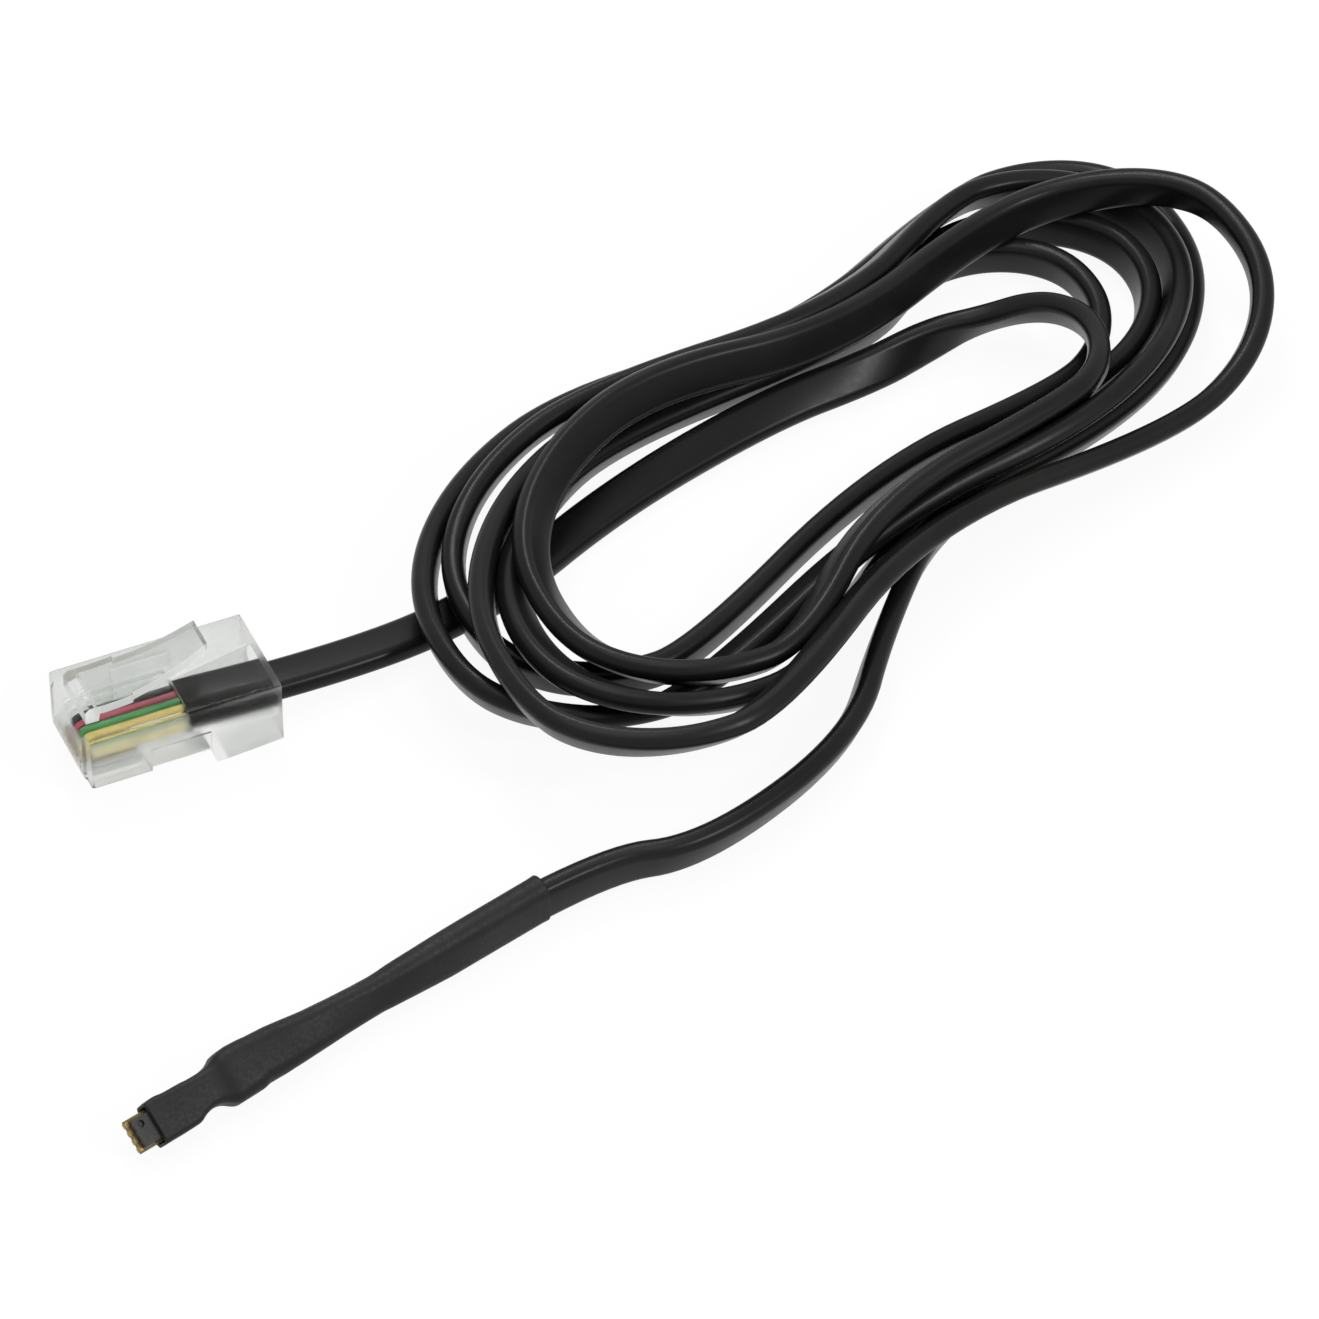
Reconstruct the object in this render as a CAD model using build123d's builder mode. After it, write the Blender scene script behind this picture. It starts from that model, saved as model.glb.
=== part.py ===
"""Rack temperature sensor: a flat four-core cable in a loose hank, with a clear modular plug and a sleeved probe.

The probe lies along X with its tip at -X, and the origin is on the table under its middle. Millimetres, +Z up.
"""

import math
import os

from build123d import *

os.makedirs("parts", exist_ok=True)

# Flat four-core cable
cable_width = 4.8
cable_thickness = 2.4
core_diameter = 0.8
core_pitch = 1.0
core_colours = ["black", "red", "green", "yellow"]

# Eight-position modular plug, lying with its latch upwards
plug_length = 21.46
plug_width = 11.68
plug_height = 6.7
plug_turn = -15.6
plug_rear = (22.9, 42.2)
foot_drop = 1.4
foot_start = 13.6
foot_flat = 1.2
foot_ramp = 0.5
rear_drop = 0.9
nose_block = 7.0
belly_recess = 0.4
nose_round = 0.9
edge_round = 0.3
cheek_width = 1.5
cheek_setback = 0.4
side_pocket_depth = 0.3
side_pocket_height = 3.0

# Latch moulded in one with the plug
latch_root = 1.0
latch_root_depth = 1.3
latch_crown = 0.5
latch_inner_bend = 0.3
latch_reach = 15.0
latch_lift = 2.0
latch_hook_rise = 0.2
latch_tip_lift = 5.0
latch_thickness = 1.1
latch_width = 6.2
latch_tip_width = 3.66
hook_start = 6.3
hook_step = 0.35

# Contacts and the insulated cores that they pierce
position_count = 8
contact_pitch = 1.02
contact_thickness = 0.35
contact_setback = 0.6
contact_length = 5.8
contact_recess = 0.25
contact_height = 1.1
contact_corner = 0.5
tooth_width = 0.5
tooth_spacing = 2.4
core_height = 2.2
core_setback = 1.4
jacket_depth = 9.3
cable_lead = 8.5
slot_clearance = 0.05
core_clearance = 0.1
jacket_clearance = 0.1
entry_width = 8.4
entry_height = 3.6

# Sensor probe in its heat-shrink sleeve
probe_length = 51.5
sleeve_wall = 0.35
sleeve_round = 0.3
tip_exposed = 2.35
jacket_in_sleeve = 8.75
jacket_round = 1.15
mouth_roll = 90.0
throat_from_tip = 26.0
throat_length = 6.0
throat_width = 3.3
throat_thickness = 1.8
throat_round = 0.8
bunch_pitch = 0.75
bunch_rise = 0.25
shoulder_behind_board = 1.2
shoulder_width = 4.5
shoulder_thickness = 2.7
shoulder_round = 1.2
shoulder_shift = 0.3
bulge_from_tip = 11.6
bulge_length = 3.4
bulge_width = 5.0
bulge_thickness = 3.3
bulge_round = 1.4
bulge_shift = 0.35
pinch_from_tip = 8.5
pinch_length = 1.3
pinch_depth = 0.7
neck_from_tip = 6.8
board_slack = 0.1
flare_width = 0.5
flare_thickness = 0.3
core_bend = 4.0
core_lead = 1.0

# Sensor board and what is soldered to it
board_width = 3.6
board_length = 17.5
board_thickness = 0.8
board_roll = 36.0
chip_side = 2.9
chip_thickness = 0.9
chip_gap = 0.05
chip_round = 0.12
port_diameter = 0.8
port_depth = 0.3
port_from_front = 0.75
port_across = 0.75
capacitor_length = 1.0
capacitor_width = 0.5
capacitor_gap = 1.0
pad_width = 0.5
pad_pitch = 0.9
pad_thickness = 0.1
pad_reach = 0.2
joint_length = 2.6
joint_height = 1.0
joint_width = 0.84
joint_round = 0.3
core_lap = 2.6

# Loose hank of cable, seen from above
coil_height = 12.0
coil_edge_round = 2.4
coil_outer = [
    (36.8, 26.7),
    (36.6, 13.2),
    (42.5, 4.1),
    (54.0, 0.9),
    (67.0, 3.9),
    (84.0, 8.7),
    (102.0, 7.9),
    (119.0, 5.7),
    (133.0, 8.5),
    (142.5, 17.7),
    (146.2, 30.7),
    (145.8, 45.2),
    (137.0, 53.1),
    (122.0, 55.5),
    (104.0, 52.1),
    (88.0, 54.5),
    (73.0, 57.7),
    (57.0, 55.5),
    (44.5, 46.2),
]
coil_inner = [
    (50.8, 26.7),
    (58.0, 19.9),
    (70.0, 21.7),
    (82.0, 24.7),
    (95.0, 27.4),
    (108.0, 26.2),
    (118.5, 27.7),
    (121.5, 32.7),
    (117.0, 39.2),
    (108.0, 43.2),
    (96.0, 45.3),
    (80.0, 46.1),
    (68.0, 45.3),
    (57.0, 38.2),
]

# Places and heights that the pieces share
plug_base = foot_drop
plug_top = plug_base + plug_height
core_axis = plug_base + core_height
cable_rest = cable_thickness / 2
probe_tip = -probe_length / 2
probe_mouth = probe_length / 2
jacket_end = probe_mouth - jacket_in_sleeve
throat_front = probe_tip + throat_from_tip
throat_back = throat_front + throat_length
board_front = probe_tip + pad_thickness
board_back = board_front + board_length
board_top = (board_thickness - chip_thickness) / 2
stack_height = board_thickness + chip_thickness
twist_start = board_back + shoulder_behind_board
core_order = [(len(core_colours) - 1) / 2 - index for index in range(len(core_colours))]
slot_order = [(position_count - 1) / 2 - index for index in range(position_count)]

# Inside of the sleeve from the mouth to the tip: place along X, width, thickness, corner radius and shift across
board_inside = board_width + 2 * board_slack
stack_inside = stack_height + 2 * board_slack
bulge_front = probe_tip + bulge_from_tip
pinch_front = probe_tip + pinch_from_tip
neck = probe_tip + neck_from_tip
sleeve_stations = [
    (probe_mouth, cable_width, cable_thickness, jacket_round, 0),
    (jacket_end, cable_width, cable_thickness, jacket_round, 0),
    (throat_back, throat_width, throat_thickness, throat_round, 0),
    (throat_front, throat_width, throat_thickness, throat_round, 0),
    (twist_start, shoulder_width, shoulder_thickness, shoulder_round, shoulder_shift),
    (bulge_front + bulge_length, bulge_width, bulge_thickness, bulge_round, bulge_shift),
    (bulge_front, bulge_width, bulge_thickness, bulge_round, bulge_shift),
    (pinch_front + pinch_length, board_inside - pinch_depth, stack_inside, sleeve_round, pinch_depth / 2),
    (pinch_front, board_inside - pinch_depth, stack_inside, sleeve_round, pinch_depth / 2),
    (neck, board_inside, stack_inside, sleeve_round, 0),
    (probe_tip + tip_exposed, board_width + flare_width, stack_height + flare_thickness, sleeve_round, 0),
]


def roll_at(along):
    """Roll of the probe about X: the board's own as far as the twist, then an even turn up to the jacket's end."""
    share = (along - twist_start) / (jacket_end - twist_start)
    return board_roll + (mouth_roll - board_roll) * min(max(share, 0), 1)


def reach_below(along, width, thickness, corner, shift):
    """How far the rolled section of the sleeve's outside reaches below the probe's axis."""
    turn = math.radians(roll_at(along))
    flat = (width / 2 - corner) * abs(math.sin(turn)) + (thickness / 2 - corner) * abs(math.cos(turn))
    return flat + corner + sleeve_wall - shift * math.sin(turn)


probe_axis = max(reach_below(*station) for station in sleeve_stations)


def probe_plane(along):
    """Plane across the probe at a place along X, with its x axis rolled from level."""
    turn = math.radians(roll_at(along))
    across = (0, math.cos(turn), math.sin(turn))
    return Plane(origin=(along, 0, probe_axis), x_dir=across, z_dir=(1, 0, 0))


# Planes of the plug, with x from the nose towards the cable
lean = math.radians(plug_turn)
plug_direction = Vector(math.cos(lean), math.sin(lean), 0)
plug_nose = Vector(*plug_rear, 0) - plug_direction * plug_length
plug_floor = Plane(origin=plug_nose, x_dir=plug_direction, z_dir=(0, 0, 1))
plug_side = Plane(origin=plug_nose, x_dir=plug_direction, z_dir=-plug_floor.y_dir)
plug_section = Plane(origin=plug_nose, x_dir=plug_floor.y_dir, z_dir=plug_direction)


def corner_radii(points):
    """Arc radius at each inner point of a route: 0.45 of the shorter run over the tangent of half the turn."""
    radii = []
    for before, corner, after in zip(points, points[1:], points[2:]):
        first = Vector(*corner) - Vector(*before)
        second = Vector(*after) - Vector(*corner)
        half_turn = math.radians(first.get_angle(second)) / 2
        radii.append(0.45 * min(first.length, second.length) / math.tan(half_turn))
    return radii


# Cable from the plug to the hank, lying flat
plug_run_start = plug_floor.from_local_coords((plug_length - jacket_depth, 0, core_axis))
plug_run_bend = plug_floor.from_local_coords((plug_length + cable_lead, 0, core_axis))
plug_route = [
    tuple(plug_run_start),
    tuple(plug_run_bend),
    (49.5, 38.6, cable_rest),
    (69.5, 41.9, cable_rest),
    (89.5, 42.1, cable_rest),
    (108.0, 39.4, cable_rest),
    (117.5, 36.4, cable_rest),
]
plug_radii = corner_radii(plug_route)
print("plug end radii", [round(radius, 1) for radius in plug_radii])
with BuildPart() as cable_plug_end:
    with BuildLine() as plug_path:
        FilletPolyline(*plug_route, radius=plug_radii)
    with BuildSketch(plug_section.offset(plug_length - jacket_depth)):
        with Locations((0, core_axis)):
            SlotOverall(cable_width, cable_thickness)
    sweep(path=plug_path.wires()[0])
cable_plug_end.part.label = "cable_plug_end"
export_step(cable_plug_end.part, "parts/cable_plug_end.step")
flat_area = (cable_width - cable_thickness) * cable_thickness + math.pi * cable_thickness**2 / 4
print("plug end volume share", cable_plug_end.part.volume / (flat_area * plug_path.wires()[0].length))

# Cable from the hank to the probe, standing on its edge
probe_route = [
    (jacket_end, 0.0, probe_axis),
    (33.2, 0.0, probe_axis),
    (42.6, -5.5, probe_axis),
    (65.2, -2.5, probe_axis),
    (76.4, 6.4, probe_axis),
    (91.6, 16.6, probe_axis),
]
probe_radii = corner_radii(probe_route)
print("probe end radii", [round(radius, 1) for radius in probe_radii])
with BuildPart() as cable_probe_end:
    with BuildLine() as probe_path:
        FilletPolyline(*probe_route, radius=probe_radii)
    with BuildSketch(probe_plane(jacket_end)):
        SlotOverall(cable_width, cable_thickness)
    sweep(path=probe_path.wires()[0])
cable_probe_end.part.label = "cable_probe_end"
export_step(cable_probe_end.part, "parts/cable_probe_end.step")
print("probe end volume share", cable_probe_end.part.volume / (flat_area * probe_path.wires()[0].length))

# Outer shape of the hank, lying over the plug's run and over the start of the probe's run
with BuildPart() as cable_coil:
    with BuildSketch():
        with BuildLine():
            Spline(*coil_outer, periodic=True)
        make_face()
        with BuildLine():
            Spline(*coil_inner, periodic=True)
        make_face(mode=Mode.SUBTRACT)
    extrude(amount=coil_height)
    fillet(cable_coil.faces().sort_by(Axis.Z)[-1].edges(), radius=coil_edge_round)
    add(cable_plug_end.part, mode=Mode.SUBTRACT)
    add(cable_probe_end.part, mode=Mode.SUBTRACT)
cable_coil.part.label = "cable_coil"
export_step(cable_coil.part, "parts/cable_coil.step")

# Latch: a springy tongue that rises from the nose, broad as far as its hooks and tapered to the thumb end
with BuildPart() as latch:
    with BuildSketch(plug_side):
        with BuildLine():
            top_line = Spline(
                (latch_root + latch_crown, plug_top + latch_lift),
                (hook_start, plug_top + latch_lift + latch_hook_rise),
                (latch_reach, plug_top + latch_tip_lift),
            )
            under_line = Spline(
                (latch_root + latch_root_depth + latch_inner_bend, plug_top + latch_lift - latch_thickness),
                (hook_start, plug_top + latch_lift + latch_hook_rise - latch_thickness),
                (latch_reach, plug_top + latch_tip_lift - latch_thickness),
            )
            Line(top_line @ 1, under_line @ 1)
            Polyline(
                under_line @ 0,
                (latch_root + latch_root_depth, plug_top - nose_round),
                (latch_root, plug_top - nose_round),
                (latch_root, plug_top + latch_lift - latch_crown),
                top_line @ 0,
            )
        make_face()
    extrude(amount=latch_width / 2, both=True)
    with BuildSketch(plug_floor):
        with BuildLine():
            Polyline(
                (0, latch_width / 2),
                (hook_start, latch_width / 2),
                (hook_start, latch_width / 2 - hook_step),
                (latch_reach, latch_tip_width / 2),
                (latch_reach, 0),
                (0, 0),
                close=True,
            )
        make_face()
        mirror(about=Plane.XZ)
    extrude(amount=plug_top + latch_tip_lift, mode=Mode.INTERSECT)

# Clear plug body: nose block with contact slots, belly recess, stepped foot, cable entry and latch in one moulding
slot_width = contact_thickness + 2 * slot_clearance
core_bore = core_diameter + 2 * core_clearance
with BuildPart() as plug_body:
    with BuildSketch(plug_side):
        with BuildLine():
            Polyline(
                (0, plug_base),
                (nose_block, plug_base),
                (nose_block, plug_base + belly_recess),
                (foot_start, plug_base + belly_recess),
                (foot_start + foot_ramp, 0),
                (foot_start + foot_ramp + foot_flat, 0),
                (plug_length, plug_base - rear_drop),
                (plug_length, plug_top),
                (0, plug_top),
                close=True,
            )
        make_face()
    extrude(amount=plug_width / 2, both=True)
    nose_edges = plug_body.edges().filter_by(Axis((0, 0, 0), plug_floor.y_dir))
    fillet(nose_edges.sort_by(Axis(tuple(plug_nose), plug_direction))[:2], radius=nose_round)
    long_edges = plug_body.edges().filter_by(Axis((0, 0, 0), plug_direction)).group_by(Axis.Z)[-1]
    fillet(long_edges, radius=edge_round)
    # Cheeks set back beside the comb that meets the socket
    with BuildSketch(plug_floor):
        with GridLocations(0, plug_width - cheek_width, 1, 2):
            Rectangle(2 * cheek_setback, cheek_width)
    extrude(amount=plug_top, mode=Mode.SUBTRACT)
    # Shallow pocket in each side between the nose block and the foot
    with BuildSketch(plug_floor):
        with Locations(((nose_block + foot_start) / 2, 0)):
            with GridLocations(0, plug_width, 1, 2):
                Rectangle(foot_start - nose_block, 2 * side_pocket_depth)
    extrude(amount=plug_base + side_pocket_height, mode=Mode.SUBTRACT)
    # Contact slots, open below and at the nose
    with BuildSketch(*[plug_side.offset(contact_pitch * place) for place in slot_order]):
        Rectangle(contact_setback + contact_length, core_axis, align=(Align.MIN, Align.MIN))
    extrude(amount=slot_width / 2, both=True, mode=Mode.SUBTRACT)
    # Channel in which the cores lie side by side
    with BuildSketch(plug_section.offset(core_setback)):
        with Locations((0, core_axis)):
            SlotOverall((position_count - 1) * contact_pitch + core_bore, core_bore)
    extrude(amount=plug_length - jacket_depth - core_setback, mode=Mode.SUBTRACT)
    # Cable entry, flared towards the rear
    with BuildSketch(plug_section.offset(plug_length - jacket_depth)):
        with Locations((0, core_axis)):
            SlotOverall(cable_width + 2 * jacket_clearance, cable_thickness + 2 * jacket_clearance)
    with BuildSketch(plug_section.offset(plug_length)):
        with Locations((0, core_axis)):
            SlotOverall(entry_width, entry_height)
    loft(mode=Mode.SUBTRACT)
    add(latch.part)
plug_body.part.label = "plug_body"
export_step(plug_body.part, "parts/plug_body.step")

# Gold-plated contact blades and the four cores that their teeth pierce
contact_foot = plug_base + contact_recess
contact_top = contact_foot + contact_height
for colour, order in zip(core_colours, core_order):
    place = contact_pitch * order
    with BuildPart() as contact:
        with BuildSketch(plug_side.offset(-place)):
            with Locations((contact_setback + contact_length / 2, contact_foot)):
                Rectangle(contact_length, contact_height, align=(Align.CENTER, Align.MIN))
            fillet(vertices().group_by(Axis.Y)[0], radius=contact_corner)
        extrude(amount=contact_thickness / 2, both=True)
        with BuildSketch(plug_side.offset(-place)):
            with Locations((contact_setback + contact_length / 2, contact_top)):
                with GridLocations(tooth_spacing, 0, 2, 1):
                    Rectangle(tooth_width, core_axis - contact_top, align=(Align.CENTER, Align.MIN))
        extrude(amount=contact_thickness / 2, both=True)
    contact.part.label = f"contact_{colour}"
    export_step(contact.part, f"parts/contact_{colour}.step")

    with BuildPart() as plug_core:
        with BuildSketch(plug_section.offset(core_setback)):
            with Locations((place, core_axis)):
                Circle(core_diameter / 2)
        extrude(amount=plug_length - jacket_depth - core_setback)
        add(contact.part, mode=Mode.SUBTRACT)
    plug_core.part.label = f"plug_core_{colour}"
    export_step(plug_core.part, f"parts/plug_core_{colour}.step")

# Sensor board, rolled about the probe's axis, with its front edge bare at the tip and a waist behind the chip
tip_plane = probe_plane(board_front)
board_face = Plane(
    origin=tip_plane.origin + tip_plane.y_dir * board_top,
    x_dir=(1, 0, 0),
    z_dir=tip_plane.y_dir,
)
board_side = Plane(origin=board_face.origin, x_dir=(1, 0, 0), z_dir=-board_face.y_dir)
with BuildPart() as sensor_board:
    with BuildSketch(board_face):
        Rectangle(board_length, board_width, align=(Align.MIN, Align.CENTER))
        with Locations((neck - board_front, -board_width / 2)):
            Rectangle(bulge_front - neck, 2 * pinch_depth, align=(Align.MIN, Align.CENTER), mode=Mode.SUBTRACT)
    extrude(amount=-board_thickness)
sensor_board.part.label = "sensor_board"
export_step(sensor_board.part, "parts/sensor_board.step")

# Gold pads folded over the board's front edge
with BuildPart() as edge_pads:
    with BuildSketch(*[board_side.offset(pad_pitch * order) for order in core_order]):
        with BuildLine():
            Polyline(
                (-pad_thickness, pad_thickness),
                (pad_reach, pad_thickness),
                (pad_reach, 0),
                (0, 0),
                (0, -board_thickness),
                (-pad_thickness, -board_thickness),
                close=True,
            )
        make_face()
    extrude(amount=pad_width / 2, both=True)
edge_pads.part.label = "edge_pads"
export_step(edge_pads.part, "parts/edge_pads.step")

# Sensor chip with its round port, just behind the pads
chip_front = pad_reach + chip_gap
with BuildPart() as sensor_chip:
    with BuildSketch(board_face):
        with Locations((chip_front, 0)):
            Rectangle(chip_side, chip_side, align=(Align.MIN, Align.CENTER))
    extrude(amount=chip_thickness)
    fillet(sensor_chip.edges().filter_by(Axis((0, 0, 0), board_face.z_dir)), radius=chip_round)
    with BuildSketch(board_face.offset(chip_thickness)):
        with Locations((chip_front + port_from_front, port_across)):
            Circle(port_diameter / 2)
    extrude(amount=-port_depth, mode=Mode.SUBTRACT)
sensor_chip.part.label = "sensor_chip"
export_step(sensor_chip.part, "parts/sensor_chip.step")

# Chip capacitor behind the sensor chip
with BuildPart() as capacitor:
    with BuildSketch(board_face):
        with Locations((chip_front + chip_side + capacitor_gap, 0)):
            Rectangle(capacitor_width, capacitor_length, align=(Align.MIN, Align.CENTER))
    extrude(amount=capacitor_width)
capacitor.part.label = "capacitor"
export_step(capacitor.part, "parts/capacitor.step")

# Insulated cores from the cable's end, bunched in the throat and laid side by side on the board
core_rise = board_top + core_diameter / 2
core_end = board_back - core_lap
for index, (colour, order) in enumerate(zip(core_colours, core_order)):
    bunch = (bunch_pitch * order, bunch_rise * (-1) ** index)
    on_board = (pad_pitch * order, core_rise)
    stations = [
        (throat_back, bunch),
        (throat_front, bunch),
        (twist_start, on_board),
        (core_end, on_board),
    ]
    route = [
        tuple(probe_plane(jacket_end).from_local_coords((core_pitch * order, 0, -ahead)))
        for ahead in (0, core_lead)
    ]
    route += [
        tuple(probe_plane(along).from_local_coords((across, rise, 0)))
        for along, (across, rise) in stations
    ]
    with BuildPart() as probe_core:
        with BuildLine() as core_path:
            FilletPolyline(*route, radius=core_bend)
        with BuildSketch(Plane(origin=route[0], z_dir=core_path.wires()[0] % 0)):
            Circle(core_diameter / 2)
        sweep(path=core_path.wires()[0])
    probe_core.part.label = f"probe_core_{colour}"
    export_step(probe_core.part, f"parts/probe_core_{colour}.step")

# Solder joints that hold the stripped ends of the cores to the board
with BuildPart() as solder_joints:
    with BuildSketch(board_face):
        with Locations((core_end - board_front, 0)):
            with GridLocations(0, pad_pitch, 1, len(core_colours)):
                Rectangle(joint_length, joint_width, align=(Align.MAX, Align.CENTER))
    extrude(amount=joint_height)
    joint_tops = solder_joints.faces().filter_by(board_face).group_by(Axis((0, 0, 0), board_face.z_dir))[-1]
    fillet(joint_tops.edges(), radius=joint_round)
solder_joints.part.label = "solder_joints"
export_step(solder_joints.part, "parts/solder_joints.step")

# Heat-shrink sleeve: a thin twisted tube drawn tight on the jacket, the cores, the solder joints and the board
with BuildPart() as heat_shrink_sleeve:
    for along, width, thickness, corner, shift in sleeve_stations:
        with BuildSketch(probe_plane(along)):
            with Locations((shift, 0)):
                RectangleRounded(width + 2 * sleeve_wall, thickness + 2 * sleeve_wall, corner + sleeve_wall)
    loft(ruled=True)
    for along, width, thickness, corner, shift in sleeve_stations:
        with BuildSketch(probe_plane(along)):
            with Locations((shift, 0)):
                RectangleRounded(width, thickness, corner)
    loft(ruled=True, mode=Mode.SUBTRACT)
heat_shrink_sleeve.part.label = "heat_shrink_sleeve"
export_step(heat_shrink_sleeve.part, "parts/heat_shrink_sleeve.step")
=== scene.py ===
import math

import bpy
import numpy as np
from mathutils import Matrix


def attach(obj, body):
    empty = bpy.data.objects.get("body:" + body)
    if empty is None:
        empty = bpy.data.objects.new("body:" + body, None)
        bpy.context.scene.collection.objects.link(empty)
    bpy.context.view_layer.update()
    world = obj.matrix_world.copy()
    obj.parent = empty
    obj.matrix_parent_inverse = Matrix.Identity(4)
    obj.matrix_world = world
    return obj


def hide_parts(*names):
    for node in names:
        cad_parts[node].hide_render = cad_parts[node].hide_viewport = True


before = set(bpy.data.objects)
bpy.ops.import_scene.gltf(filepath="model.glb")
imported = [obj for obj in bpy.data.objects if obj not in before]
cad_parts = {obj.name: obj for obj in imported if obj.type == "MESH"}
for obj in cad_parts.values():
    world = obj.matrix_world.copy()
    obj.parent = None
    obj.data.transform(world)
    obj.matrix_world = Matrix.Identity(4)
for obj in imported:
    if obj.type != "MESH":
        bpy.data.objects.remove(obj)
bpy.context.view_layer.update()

# Cable: one length of flat lead with four cores in a black PVC jacket, extruded, so that it is smooth along its run.
# It leaves the probe standing on its edge, lies in a loose hank of long turns that lean on one another, and turns flat
# for the run into the plug.
cable_width = 0.0048
cable_thickness = 0.0024
jacket_corner = 0.00105
jacket_corner_steps = 7
# Points of the route in millimetres, each with the roll of the cable in degrees: 0 stands on edge, 90 lies flat, and
# the upper edge leans out of the hank where the roll is above zero.
probe_run = [
    (17.0, 0.0, 2.75, 0),
    (33.2, 0.0, 2.75, 5),
    (42.6, -5.5, 2.75, 18),
    (64.3, -3.0, 2.75, 25),
    (76.9, 6.8, 2.75, 13),
    (93.5, 17.3, 2.75, 20),
]
plug_run = [
    (117.0, 37.0, 3.6, -38),
    (111.0, 38.5, 3.0, 12),
    (103.0, 39.0, 2.6, 46),
    (91.0, 41.7, 2.1, 56),
    (69.5, 41.9, 1.5, 78),
    (49.5, 38.2, 1.2, 90),
    (31.087, 39.600, 2.6, 90),
    (13.943, 44.701, 3.6, 90),
]
# Bends of the hank in the order of the run. Each row has the bend's side, x and y of its apex, its depth before and
# after the apex, y at its start and end, lift and then roll at start, apex and end, and last the x, y, lift and roll of
# the waist that follows. The last bend has no waist, because the plug's run takes over in it.
bends = [
    (1, (144.8, 40.3), (29.3, 16.6), (16.1, 54.8), (-0.4, -0.3, -0.5), (32, -9, -39), (99.6, 48.5, -0.3, -34)),
    (-1, (39.2, 29.7), (35.0, 18.0), (56.5, 12.4), (0.7, 3.1, 0.0), (-29, 23, 53), (90.3, 20.7, 3.45, 54)),
    (1, (142.3, 37.7), (29.3, 15.9), (18.2, 54.4), (5.8, 1.4, 3.4), (39, 12, -32), (106.7, 48.2, 5.3, -46)),
    (-1, (44.2, 31.9), (31.5, 15.5), (55.6, 17.1), (5.4, 1.5, 0.0), (-33, 19, 14), (92.5, 26.3, 0.2, 18)),
    (1, (130.4, 36.7), (14.4, 12.9), (23.6, 47.5), (-0.2, 0.6, 0.0), (28, -12, -15), (106.0, 42.8, -0.6, -22)),
    (-1, (47.3, 25.8), (28.8, 20.6), (48.1, 7.3), (0.7, 5.7, 2.4), (-33, 55, 34), (89.4, 18.4, -0.7, 28)),
    (1, (137.3, 36.5), (18.8, 17.2), (21.5, 50.1), (0.1, 0.9, -0.4), (16, 8, -17), (103.4, 46.1, -0.4, -31)),
    (-1, (42.0, 21.5), (34.2, 19.4), (51.8, 5.6), (4.0, 7.3, 7.0), (-21, 25, 42), (90.9, 17.7, 5.1, 44)),
    (1, (149.2, 35.0), (27.6, 22.1), (10.8, 48.7), (0.3, 7.1, 4.7), (40, -20, 16), (103.1, 44.8, 5.0, 23)),
    (-1, (51.7, 27.3), (31.1, 17.9), (52.6, 11.1), (7.5, 5.3, 3.9), (29, 42, 36), (89.2, 22.9, 7.4, 42)),
    (1, (125.9, 30.8), (11.0, 15.5), (21.8, 39.7), (7.5, 4.9, -1.4), (31, -25, -49), None),
]
bend_steps = 7
last_bend_points = 5
# Height of the middle of a strand that stands on its edge on the table, and the way that one millimetre of lift moves
# it: up, and to the front left, as the turns lean where they pile up.
hank_rest = 2.76
uphill = np.array([-0.659, -0.797, 1.0])


def bend_points(side, apex, depths, ends, lifts, rolls, waist):
    """Points of one bend, each with its roll: two quarter ellipses that meet at the apex, each with its own depth and
    height, whose lift and roll go from apex to end with the square of the sine, then one point at the waist. A bend
    with no waist stops short."""
    turn = np.radians(np.linspace(-90, 90, bend_steps))
    late = turn > 0
    rise = np.sin(turn)
    x = apex[0] - side * np.where(late, depths[1], depths[0]) * (1 - np.cos(turn))
    y = apex[1] + np.where(late, ends[1] - apex[1], apex[1] - ends[0]) * rise
    lift, roll = (middle + (np.where(late, end, start) - middle) * rise**2 for start, middle, end in (lifts, rolls))
    points = np.c_[x, y, lift, roll]
    points = points[:last_bend_points] if waist is None else np.vstack([points, waist])
    place = np.c_[points[:, :2], np.full(len(points), hank_rest)] + points[:, 2:3] * uphill
    return np.c_[place, points[:, 3]]


def spline_line(points, name):
    """Points of a smooth spline of third order that has these control points and starts and ends on the outer ones."""
    curve = bpy.data.curves.new(name, "CURVE")
    curve.dimensions = "3D"
    spline = curve.splines.new("NURBS")
    spline.points.add(len(points) - 1)
    spline.points.foreach_set("co", np.c_[points, np.ones(len(points))].ravel())
    spline.order_u = 3
    spline.use_endpoint_u = True
    spline.resolution_u = 12
    holder = bpy.data.objects.new(name, curve)
    bpy.context.scene.collection.objects.link(holder)
    line_mesh = bpy.data.meshes.new_from_object(holder)
    line = np.empty(len(line_mesh.vertices) * 3)
    line_mesh.vertices.foreach_get("co", line)
    bpy.data.objects.remove(holder)
    bpy.data.curves.remove(curve)
    bpy.data.meshes.remove(line_mesh)
    return line.reshape(-1, 3)


def rounded_ring(width, height, corner, steps):
    """Outline of a rounded rectangle about zero, counter-clockwise: four quarter circles of radius corner, one at each
    corner. Sizes may be arrays, and the outline then has one row for each of them."""
    turn = np.linspace(0, math.pi / 2, steps)
    turns = np.concatenate([turn + quarter * math.pi / 2 for quarter in range(4)])
    sign_x = np.repeat([1, -1, -1, 1], steps)
    sign_y = np.repeat([1, 1, -1, -1], steps)
    width, height, corner = (np.asarray(size, float)[..., None] for size in (width, height, corner))
    return (
        sign_x * (width / 2 - corner) + corner * np.cos(turns),
        sign_y * (height / 2 - corner) + corner * np.sin(turns),
    )


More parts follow.
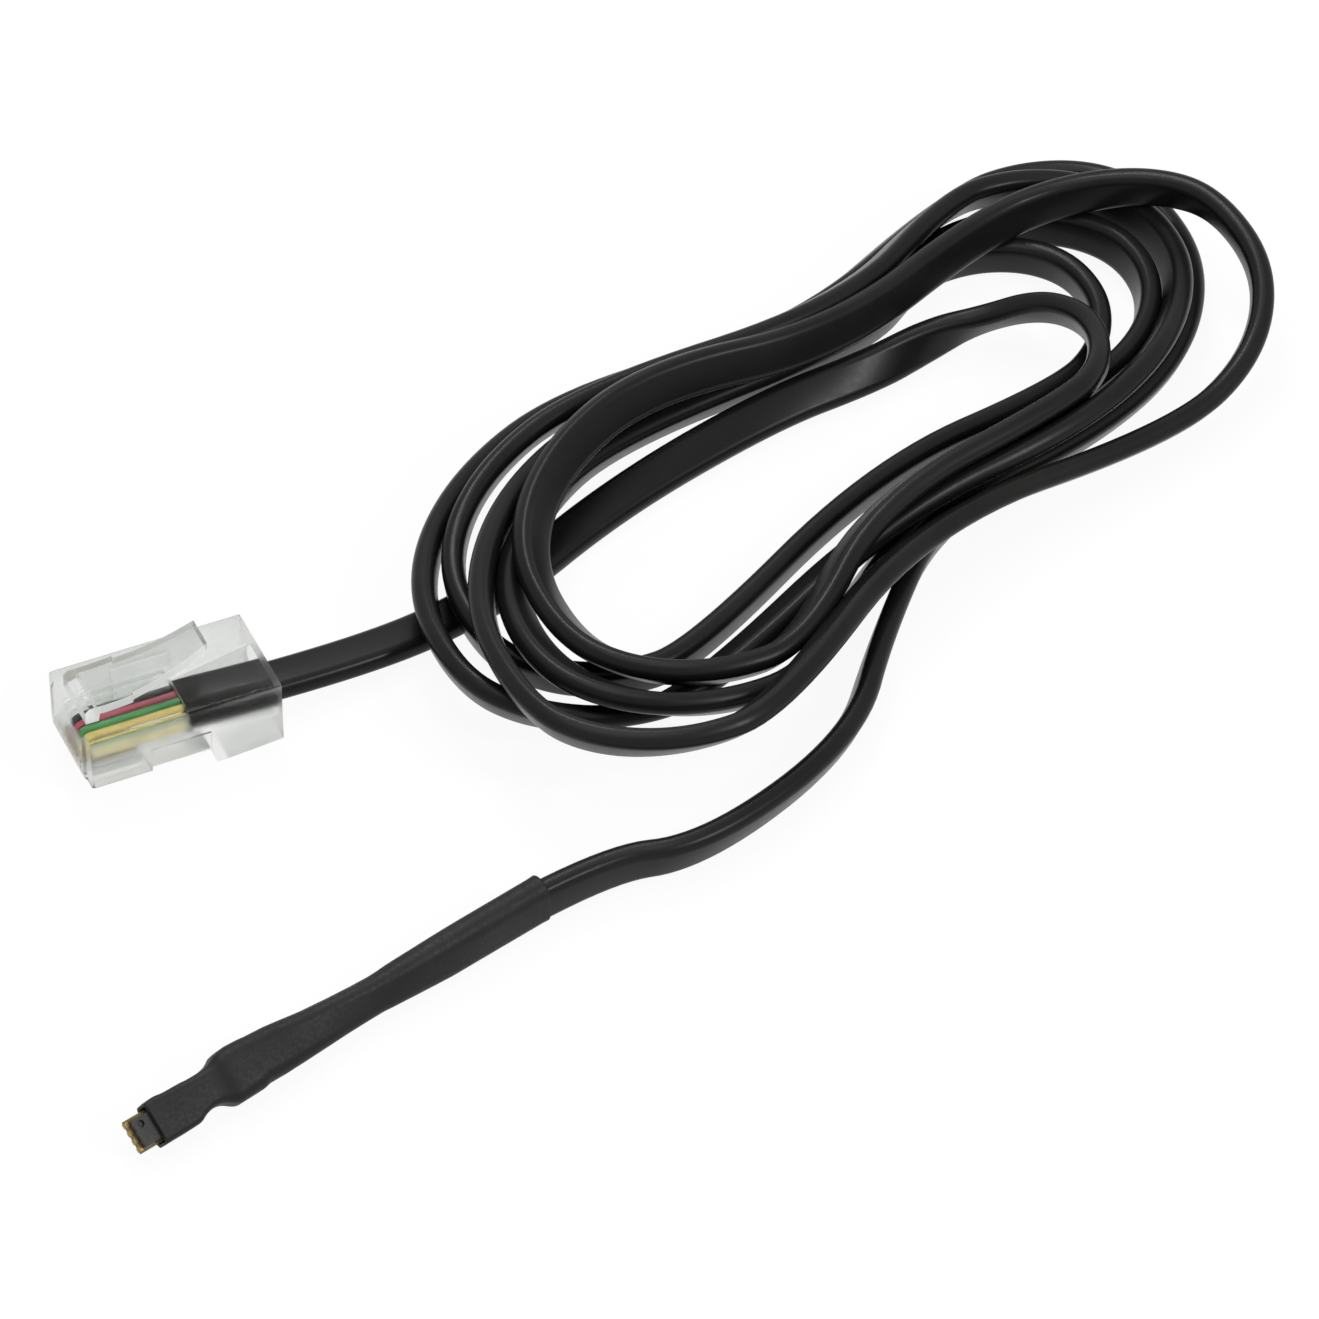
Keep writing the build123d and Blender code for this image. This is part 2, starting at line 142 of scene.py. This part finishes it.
def ring_mesh(name, grid, ends_meet):
    """Mesh of a grid of points whose rows are closed rings, with quads from each ring to the next. Where ends_meet is
    set, the last ring joins the first, and otherwise one face closes each end."""
    rings, around = grid.shape[:2]
    ring = np.arange(rings if ends_meet else rings - 1)[:, None]
    place = np.arange(around)[None, :]
    next_ring, next_place = (ring + 1) % rings, (place + 1) % around
    corners = (
        ring * around + place,
        ring * around + next_place,
        next_ring * around + next_place,
        next_ring * around + place,
    )
    faces = np.stack(np.broadcast_arrays(*corners), axis=-1).reshape(-1, 4).tolist()
    if not ends_meet:
        faces += [list(range(around))[::-1], list(range((rings - 1) * around, rings * around))]
    mesh = bpy.data.meshes.new(name)
    mesh.from_pydata(grid.reshape(-1, 3), [], faces)
    mesh.update()
    piece = bpy.data.objects.new(name, mesh)
    bpy.context.scene.collection.objects.link(piece)
    mesh.shade_smooth()
    return piece


def unit(vectors):
    """Vectors scaled to length one."""
    return vectors / np.linalg.norm(vectors, axis=-1, keepdims=True)


route = np.vstack([probe_run, *[bend_points(*bend) for bend in bends], plug_run])
cable_line = spline_line(route[:, :3] / 1000, "cable_line")
roll_line = spline_line(np.radians(route[:, 3:]) * (1, 0, 0), "roll_line")[:, :1]
along = unit(np.gradient(cable_line, axis=0))
outward = unit(np.cross(along, (0.0, 0.0, 1.0)))
across = np.cos(roll_line) * np.cross(outward, along) + np.sin(roll_line) * outward
through = np.cross(along, across)
ring_wide, ring_thick = rounded_ring(cable_width, cable_thickness, jacket_corner, jacket_corner_steps)
cable_grid = (
    cable_line[:, None, :]
    + ring_wide[None, :, None] * across[:, None, :]
    + ring_thick[None, :, None] * through[:, None, :]
)
cable = ring_mesh("cable", cable_grid, ends_meet=False)


def grain_group():
    """Node group of the variation that all finishes share: soft clouds and a fine grain, each a noise on the piece's
    own coordinates with its own scale."""
    group = bpy.data.node_groups.new("surface_grain", "ShaderNodeTree")
    details = {"Cloud": 5.0, "Grain": 3.0}
    for name in details:
        group.interface.new_socket(name=f"{name} Scale", in_out="INPUT", socket_type="NodeSocketFloat")
        group.interface.new_socket(name=name, in_out="OUTPUT", socket_type="NodeSocketFloat")
    given, put = group.nodes.new("NodeGroupInput"), group.nodes.new("NodeGroupOutput")
    place = group.nodes.new("ShaderNodeTexCoord")
    for name, detail in details.items():
        noise = group.nodes.new("ShaderNodeTexNoise")
        noise.inputs["Detail"].default_value = detail
        group.links.new(given.outputs[f"{name} Scale"], noise.inputs["Scale"])
        group.links.new(place.outputs["Object"], noise.inputs["Vector"])
        group.links.new(noise.outputs["Fac"], put.inputs[name])
    return group


surface_grain = grain_group()


def ramp(tree, value, low, high):
    """Colours from low to high over the middle of a value's range."""
    node = tree.nodes.new("ShaderNodeValToRGB")
    for element, position, colour in zip(node.color_ramp.elements, (0.35, 0.65), (low, high)):
        element.position = position
        element.color = (*colour, 1)
    tree.links.new(value, node.inputs["Fac"])
    return node.outputs["Color"]


def spread(tree, value, low, high):
    """A value's middle range spread from low to high."""
    node = tree.nodes.new("ShaderNodeMapRange")
    node.inputs["From Min"].default_value = 0.3
    node.inputs["From Max"].default_value = 0.7
    node.inputs["To Min"].default_value = low
    node.inputs["To Max"].default_value = high
    tree.links.new(value, node.inputs["Value"])
    return node.outputs["Result"]


def finish(name, tones, rough, cloud_scale, grain_scale, bump, plain):
    """Finish of a plastic or metal: its colour drifts between two tones with the clouds, its roughness between two
    values with the grain, and the grain dents it by bump. Rough or bump is None where a finish goes without it, and
    plain has the values that are the same all over."""
    material = bpy.data.materials.new(name)
    material.use_nodes = True
    tree = material.node_tree
    shader = tree.nodes["Principled BSDF"]
    for socket, value in plain.items():
        shader.inputs[socket].default_value = value
    grain = tree.nodes.new("ShaderNodeGroup")
    grain.node_tree = surface_grain
    grain.inputs["Cloud Scale"].default_value = cloud_scale
    grain.inputs["Grain Scale"].default_value = grain_scale
    tree.links.new(ramp(tree, grain.outputs["Cloud"], *tones), shader.inputs["Base Color"])
    if rough:
        tree.links.new(spread(tree, grain.outputs["Grain"], *rough), shader.inputs["Roughness"])
    if bump:
        dent = tree.nodes.new("ShaderNodeBump")
        dent.inputs["Distance"].default_value = bump
        dent.inputs["Strength"].default_value = 1.0
        tree.links.new(grain.outputs["Grain"], dent.inputs["Height"])
        tree.links.new(dent.outputs["Normal"], shader.inputs["Normal"])
    return material


jacket_black = finish(
    "jacket_black",
    tones=((0.006, 0.006, 0.006), (0.010, 0.010, 0.0095)),
    rough=(0.30, 0.34),
    cloud_scale=90.0,
    grain_scale=1400.0,
    bump=0.0000005,
    plain={"Specular IOR Level": 0.15},
)
cable.data.materials.append(jacket_black)
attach(cable, "root")
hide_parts("cable_probe_end", "cable_coil", "cable_plug_end")

# Plug: a standard eight-position modular plug of clear polycarbonate, moulded in one with its latch and crimped on the
# cable. The jacket shows inside its rear half, and the cores run on to the contacts. Its upright faces are duller than
# the level ones.
upright_rough, level_rough = 0.40, 0.13
clear_plastic = finish(
    "clear_plastic",
    tones=((0.745, 0.76, 0.745), (0.815, 0.825, 0.81)),
    rough=None,
    cloud_scale=220.0,
    grain_scale=900.0,
    bump=0.000004,
    plain={"Transmission Weight": 1.0, "IOR": 1.2},
)
clear_tree = clear_plastic.node_tree
clear_facing = clear_tree.nodes.new("ShaderNodeNewGeometry")
clear_axes = clear_tree.nodes.new("ShaderNodeSeparateXYZ")
clear_level = clear_tree.nodes.new("ShaderNodeMath")
clear_level.operation = "ABSOLUTE"
clear_tree.links.new(clear_facing.outputs["Normal"], clear_axes.inputs["Vector"])
clear_tree.links.new(clear_axes.outputs["Z"], clear_level.inputs[0])
clear_rough = spread(clear_tree, clear_level.outputs["Value"], upright_rough, level_rough)
clear_tree.links.new(clear_rough, clear_tree.nodes["Principled BSDF"].inputs["Roughness"])


def dress(node, material):
    """Gives a solid of the frame its finish."""
    mesh = bpy.data.objects[node].data
    mesh.materials.clear()
    mesh.materials.append(material)


dress("plug_body", clear_plastic)

# Cores: four stranded conductors in coloured PVC, which lie side by side in the plug's channel and are bunched inside
# the sleeve. Each gold-plated contact blade in the plug is pressed down through one of them.
core_tones = {
    "black": ((0.010, 0.010, 0.011), (0.022, 0.022, 0.022)),
    "red": ((0.46, 0.05, 0.09), (0.60, 0.08, 0.13)),
    "green": ((0.04, 0.30, 0.07), (0.08, 0.42, 0.11)),
    "yellow": ((0.76, 0.58, 0.14), (0.90, 0.72, 0.24)),
}
gold_plate = finish(
    "gold_plate",
    tones=((0.80, 0.55, 0.20), (0.95, 0.72, 0.34)),
    rough=(0.16, 0.34),
    cloud_scale=500.0,
    grain_scale=4000.0,
    bump=None,
    plain={"Metallic": 1.0},
)
for colour, tones in core_tones.items():
    insulation = finish(
        f"core_{colour}",
        tones=tones,
        rough=(0.28, 0.42),
        cloud_scale=400.0,
        grain_scale=3000.0,
        bump=0.000004,
        plain={},
    )
    dress(f"plug_core_{colour}", insulation)
    dress(f"probe_core_{colour}", insulation)
    dress(f"contact_{colour}", gold_plate)

# Sleeve: a length of matt black polyolefin tube, shrunk by heat on the cable's end, the bunched cores, the solder
# joints and the board. It takes the shape of what is under it, and its two cut ends stand a little proud.
sleeve_axis = 0.00275
sleeve_wall = 0.35
# Stations from the tip to the mouth in millimetres: x, half width on the far and on the near side, thickness, corner
# radius.
sleeve_stations = np.array(
    [
        (-23.40, 2.26, 2.28, 2.75, 0.60),
        (-22.90, 2.42, 2.28, 2.70, 0.60),
        (-21.90, 2.45, 2.26, 2.65, 0.65),
        (-21.00, 2.31, 2.26, 2.62, 0.65),
        (-18.90, 2.29, 2.20, 2.60, 0.68),
        (-18.00, 2.22, 1.74, 2.60, 0.70),
        (-17.10, 2.22, 1.54, 2.60, 0.72),
        (-16.20, 2.26, 1.55, 2.68, 0.78),
        (-15.60, 2.36, 1.74, 2.80, 0.85),
        (-14.95, 2.56, 2.18, 3.05, 0.95),
        (-14.40, 2.96, 2.52, 3.45, 1.10),
        (-13.90, 3.06, 2.54, 3.70, 1.20),
        (-12.80, 3.19, 2.50, 3.90, 1.35),
        (-11.20, 3.12, 2.47, 3.95, 1.40),
        (-10.30, 3.03, 2.26, 3.90, 1.45),
        (-8.00, 2.92, 2.27, 3.65, 1.45),
        (-6.00, 2.70, 2.20, 3.38, 1.40),
        (-3.50, 2.40, 2.08, 3.05, 1.28),
        (-0.50, 2.18, 1.95, 2.65, 1.15),
        (2.50, 2.03, 1.89, 2.50, 1.10),
        (4.60, 1.98, 1.88, 2.50, 1.10),
        (5.60, 2.00, 1.96, 2.65, 1.15),
        (7.00, 2.13, 2.05, 2.80, 1.25),
        (10.00, 2.28, 2.27, 2.95, 1.35),
        (13.00, 2.48, 2.54, 3.05, 1.45),
        (17.00, 2.75, 2.75, 3.10, 1.50),
        (25.10, 2.77, 2.76, 3.10, 1.50),
        (25.75, 2.82, 2.79, 3.18, 1.52),
    ]
)
# The sleeve is rolled with the board up to the start of the twist, and lies on the cable's edge from its end.
twist_start, twist_end = -6.95, 17.0
board_roll, mouth_roll = 36.0, 90.0
sleeve_rings = 260
sleeve_corner_steps = 9
least_corner = 0.12
sleeve_x = np.linspace(sleeve_stations[0, 0], sleeve_stations[-1, 0], sleeve_rings)
smoothing = np.array([1, 2, 3, 2, 1]) / 9
sleeve_sizes = [
    np.convolve(
        np.pad(np.interp(sleeve_x, sleeve_stations[:, 0], size), len(smoothing) // 2, mode="edge"),
        smoothing,
        mode="valid",
    )
    for size in sleeve_stations[:, 1:].T
]


def sleeve_wall_grid(inset):
    """Rings of the sleeve's wall: rounded rectangles between the stations, smaller by inset on each side, rolled about
    the probe's axis."""
    far, near, thickness, corner = sleeve_sizes
    ring_x, ring_y = rounded_ring(
        far + near - 2 * inset, thickness - 2 * inset, np.maximum(corner - inset, least_corner), sleeve_corner_steps
    )
    ring_x = ring_x + ((far - near) / 2)[:, None]
    turn = np.radians(np.interp(sleeve_x, [twist_start, twist_end], [board_roll, mouth_roll]))[:, None]
    level = ring_x * np.cos(turn) - ring_y * np.sin(turn)
    rise = ring_x * np.sin(turn) + ring_y * np.cos(turn)
    place = np.broadcast_to(sleeve_x[:, None], level.shape)
    return np.stack([place, level, rise], axis=-1) / 1000 + [0, 0, sleeve_axis]


sleeve_walls = np.concatenate([sleeve_wall_grid(0.0), sleeve_wall_grid(sleeve_wall)[::-1]])
sleeve = ring_mesh("sleeve", sleeve_walls, ends_meet=True)
shrink_black = finish(
    "shrink_black",
    tones=((0.005, 0.005, 0.0053), (0.009, 0.009, 0.0094)),
    rough=(0.45, 0.60),
    cloud_scale=160.0,
    grain_scale=2600.0,
    bump=0.000015,
    plain={"Specular IOR Level": 0.25},
)
sleeve.data.materials.append(shrink_black)
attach(sleeve, "root")
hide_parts("heat_shrink_sleeve")

# Sensor board: a glass-fibre board with a small sensor chip at its tip, gold pads over its front edge, a capacitor and
# the solder joints of the cores. Only its front end stands out of the sleeve.
board_laminate = finish(
    "board_laminate",
    tones=((0.10, 0.075, 0.02), (0.20, 0.15, 0.05)),
    rough=(0.40, 0.60),
    cloud_scale=900.0,
    grain_scale=5000.0,
    bump=0.00001,
    plain={},
)
chip_resin = finish(
    "chip_resin",
    tones=((0.020, 0.020, 0.022), (0.036, 0.036, 0.038)),
    rough=(0.35, 0.55),
    cloud_scale=700.0,
    grain_scale=6000.0,
    bump=0.000008,
    plain={"Specular IOR Level": 0.25},
)
capacitor_ceramic = finish(
    "capacitor_ceramic",
    tones=((0.30, 0.20, 0.12), (0.42, 0.30, 0.18)),
    rough=(0.35, 0.50),
    cloud_scale=900.0,
    grain_scale=5000.0,
    bump=0.000005,
    plain={},
)
solder = finish(
    "solder",
    tones=((0.55, 0.55, 0.57), (0.70, 0.70, 0.71)),
    rough=(0.22, 0.42),
    cloud_scale=700.0,
    grain_scale=4000.0,
    bump=0.00001,
    plain={"Metallic": 1.0},
)
pad_gold = finish(
    "pad_gold",
    tones=((0.27, 0.175, 0.05), (0.40, 0.27, 0.09)),
    rough=(0.42, 0.56),
    cloud_scale=600.0,
    grain_scale=4000.0,
    bump=0.00001,
    plain={"Metallic": 1.0},
)
dress("sensor_board", board_laminate)
dress("sensor_chip", chip_resin)
dress("capacitor", capacitor_ceramic)
dress("edge_pads", pad_gold)
dress("solder_joints", solder)

# Table: a plain white sheet under the object, which reaches past the picture on all sides. It shows as almost pure
# white, and the rest of its tone keeps the soft shadow.
sheet_reach = 3.0
sheet_glow_share = 0.93
sheet_sides = ((-1, -1), (1, -1), (1, 1), (-1, 1))
sheet_corners = [(side_x * sheet_reach, side_y * sheet_reach, 0) for side_x, side_y in sheet_sides]
floor_mesh = bpy.data.meshes.new("floor")
floor_mesh.from_pydata(sheet_corners, [], [(0, 1, 2, 3)])
floor = bpy.data.objects.new("floor", floor_mesh)
bpy.context.scene.collection.objects.link(floor)


def seen_directly(tree):
    """One for rays from the camera and for those that are mirrored or pass through clear plastic, else zero."""
    light_path = tree.nodes.new("ShaderNodeLightPath")
    total = light_path.outputs["Is Camera Ray"]
    for kind in ("Is Glossy Ray", "Is Transmission Ray"):
        more = tree.nodes.new("ShaderNodeMath")
        more.operation = "MAXIMUM"
        tree.links.new(total, more.inputs[0])
        tree.links.new(light_path.outputs[kind], more.inputs[1])
        total = more.outputs["Value"]
    return total


white_sheet = bpy.data.materials.new("white_sheet")
white_sheet.use_nodes = True
sheet_tree = white_sheet.node_tree
sheet_shader = sheet_tree.nodes["Principled BSDF"]
sheet_shader.inputs["Base Color"].default_value = (0.86, 0.86, 0.86, 1)
sheet_shader.inputs["Roughness"].default_value = 0.9
sheet_shader.inputs["Specular IOR Level"].default_value = 0.0
sheet_glow = sheet_tree.nodes.new("ShaderNodeEmission")
sheet_mix = sheet_tree.nodes.new("ShaderNodeMixShader")
sheet_share = sheet_tree.nodes.new("ShaderNodeMath")
sheet_share.operation = "MULTIPLY"
sheet_share.inputs[1].default_value = sheet_glow_share
sheet_tree.links.new(seen_directly(sheet_tree), sheet_share.inputs[0])
sheet_tree.links.new(sheet_share.outputs["Value"], sheet_mix.inputs["Fac"])
sheet_tree.links.new(sheet_shader.outputs["BSDF"], sheet_mix.inputs[1])
sheet_tree.links.new(sheet_glow.outputs["Emission"], sheet_mix.inputs[2])
sheet_tree.links.new(sheet_mix.outputs["Shader"], sheet_tree.nodes["Material Output"].inputs["Surface"])
floor_mesh.materials.append(white_sheet)

# Light: an even white room as in a small photo tent, with one large soft lamp overhead and two small ones, behind and
# to the right, that draw the soft bright lines on the jacket.
room_strength = 0.55
room = bpy.data.worlds.new("room")
bpy.context.scene.world = room
room.use_nodes = True
room_tree = room.node_tree
room_light = room_tree.nodes["Background"]
room_light.inputs["Color"].default_value = (1, 1, 1, 1)
room_light.inputs["Strength"].default_value = room_strength
room_seen = room_tree.nodes.new("ShaderNodeBackground")
room_mix = room_tree.nodes.new("ShaderNodeMixShader")
room_tree.links.new(seen_directly(room_tree), room_mix.inputs["Fac"])
room_tree.links.new(room_light.outputs["Background"], room_mix.inputs[1])
room_tree.links.new(room_seen.outputs["Background"], room_mix.inputs[2])
room_tree.links.new(room_mix.outputs["Shader"], room_tree.nodes["World Output"].inputs["Surface"])
picture_middle = np.array([0.058898, 0.021194, 0.0])


def turn_to(holder, aim):
    """Turns a lamp or the camera so that it looks at a point, with its top upwards."""
    sight = unit(np.subtract(aim, holder.location))
    holder.rotation_euler = (math.acos(-sight[2]), 0, math.atan2(sight[1], sight[0]) - math.pi / 2)


def soft_lamp(name, place, size, power):
    """A square lamp at a place, turned to face the middle of the picture."""
    lamp = bpy.data.lights.new(name, "AREA")
    lamp.shape = "SQUARE"
    lamp.size = size
    lamp.energy = power
    holder = bpy.data.objects.new(name, lamp)
    bpy.context.scene.collection.objects.link(holder)
    holder.location = place
    turn_to(holder, picture_middle)


soft_lamp("lamp_overhead", place=(0.02, 0.05, 0.75), size=0.50, power=1.8)
soft_lamp("lamp_behind", place=(0.23, 0.32, 0.53), size=0.13, power=1.0)
soft_lamp("lamp_right", place=(0.238, -0.464, 0.438), size=0.10, power=1.4)

# Camera: a long lens, high in front of the tip of the probe. Its heading and height are those that the corners of the
# plug give, and the picture's width is the one at the middle of the picture, on the table.
sensor_width = 36.0
picture_width = 0.1374
camera_distance = 0.9
camera_elevation = math.radians(44.0)
camera_heading = np.array([-0.63803, -0.77001])
camera_data = bpy.data.cameras.new("camera")
camera_data.sensor_width = sensor_width
camera_data.lens = sensor_width * camera_distance / picture_width
camera = bpy.data.objects.new("camera", camera_data)
bpy.context.scene.collection.objects.link(camera)
camera.location = picture_middle + camera_distance * np.array(
    [*(camera_heading * math.cos(camera_elevation)), math.sin(camera_elevation)]
)
turn_to(camera, picture_middle)
bpy.context.scene.camera = camera
bpy.context.scene.view_settings.view_transform = "Standard"
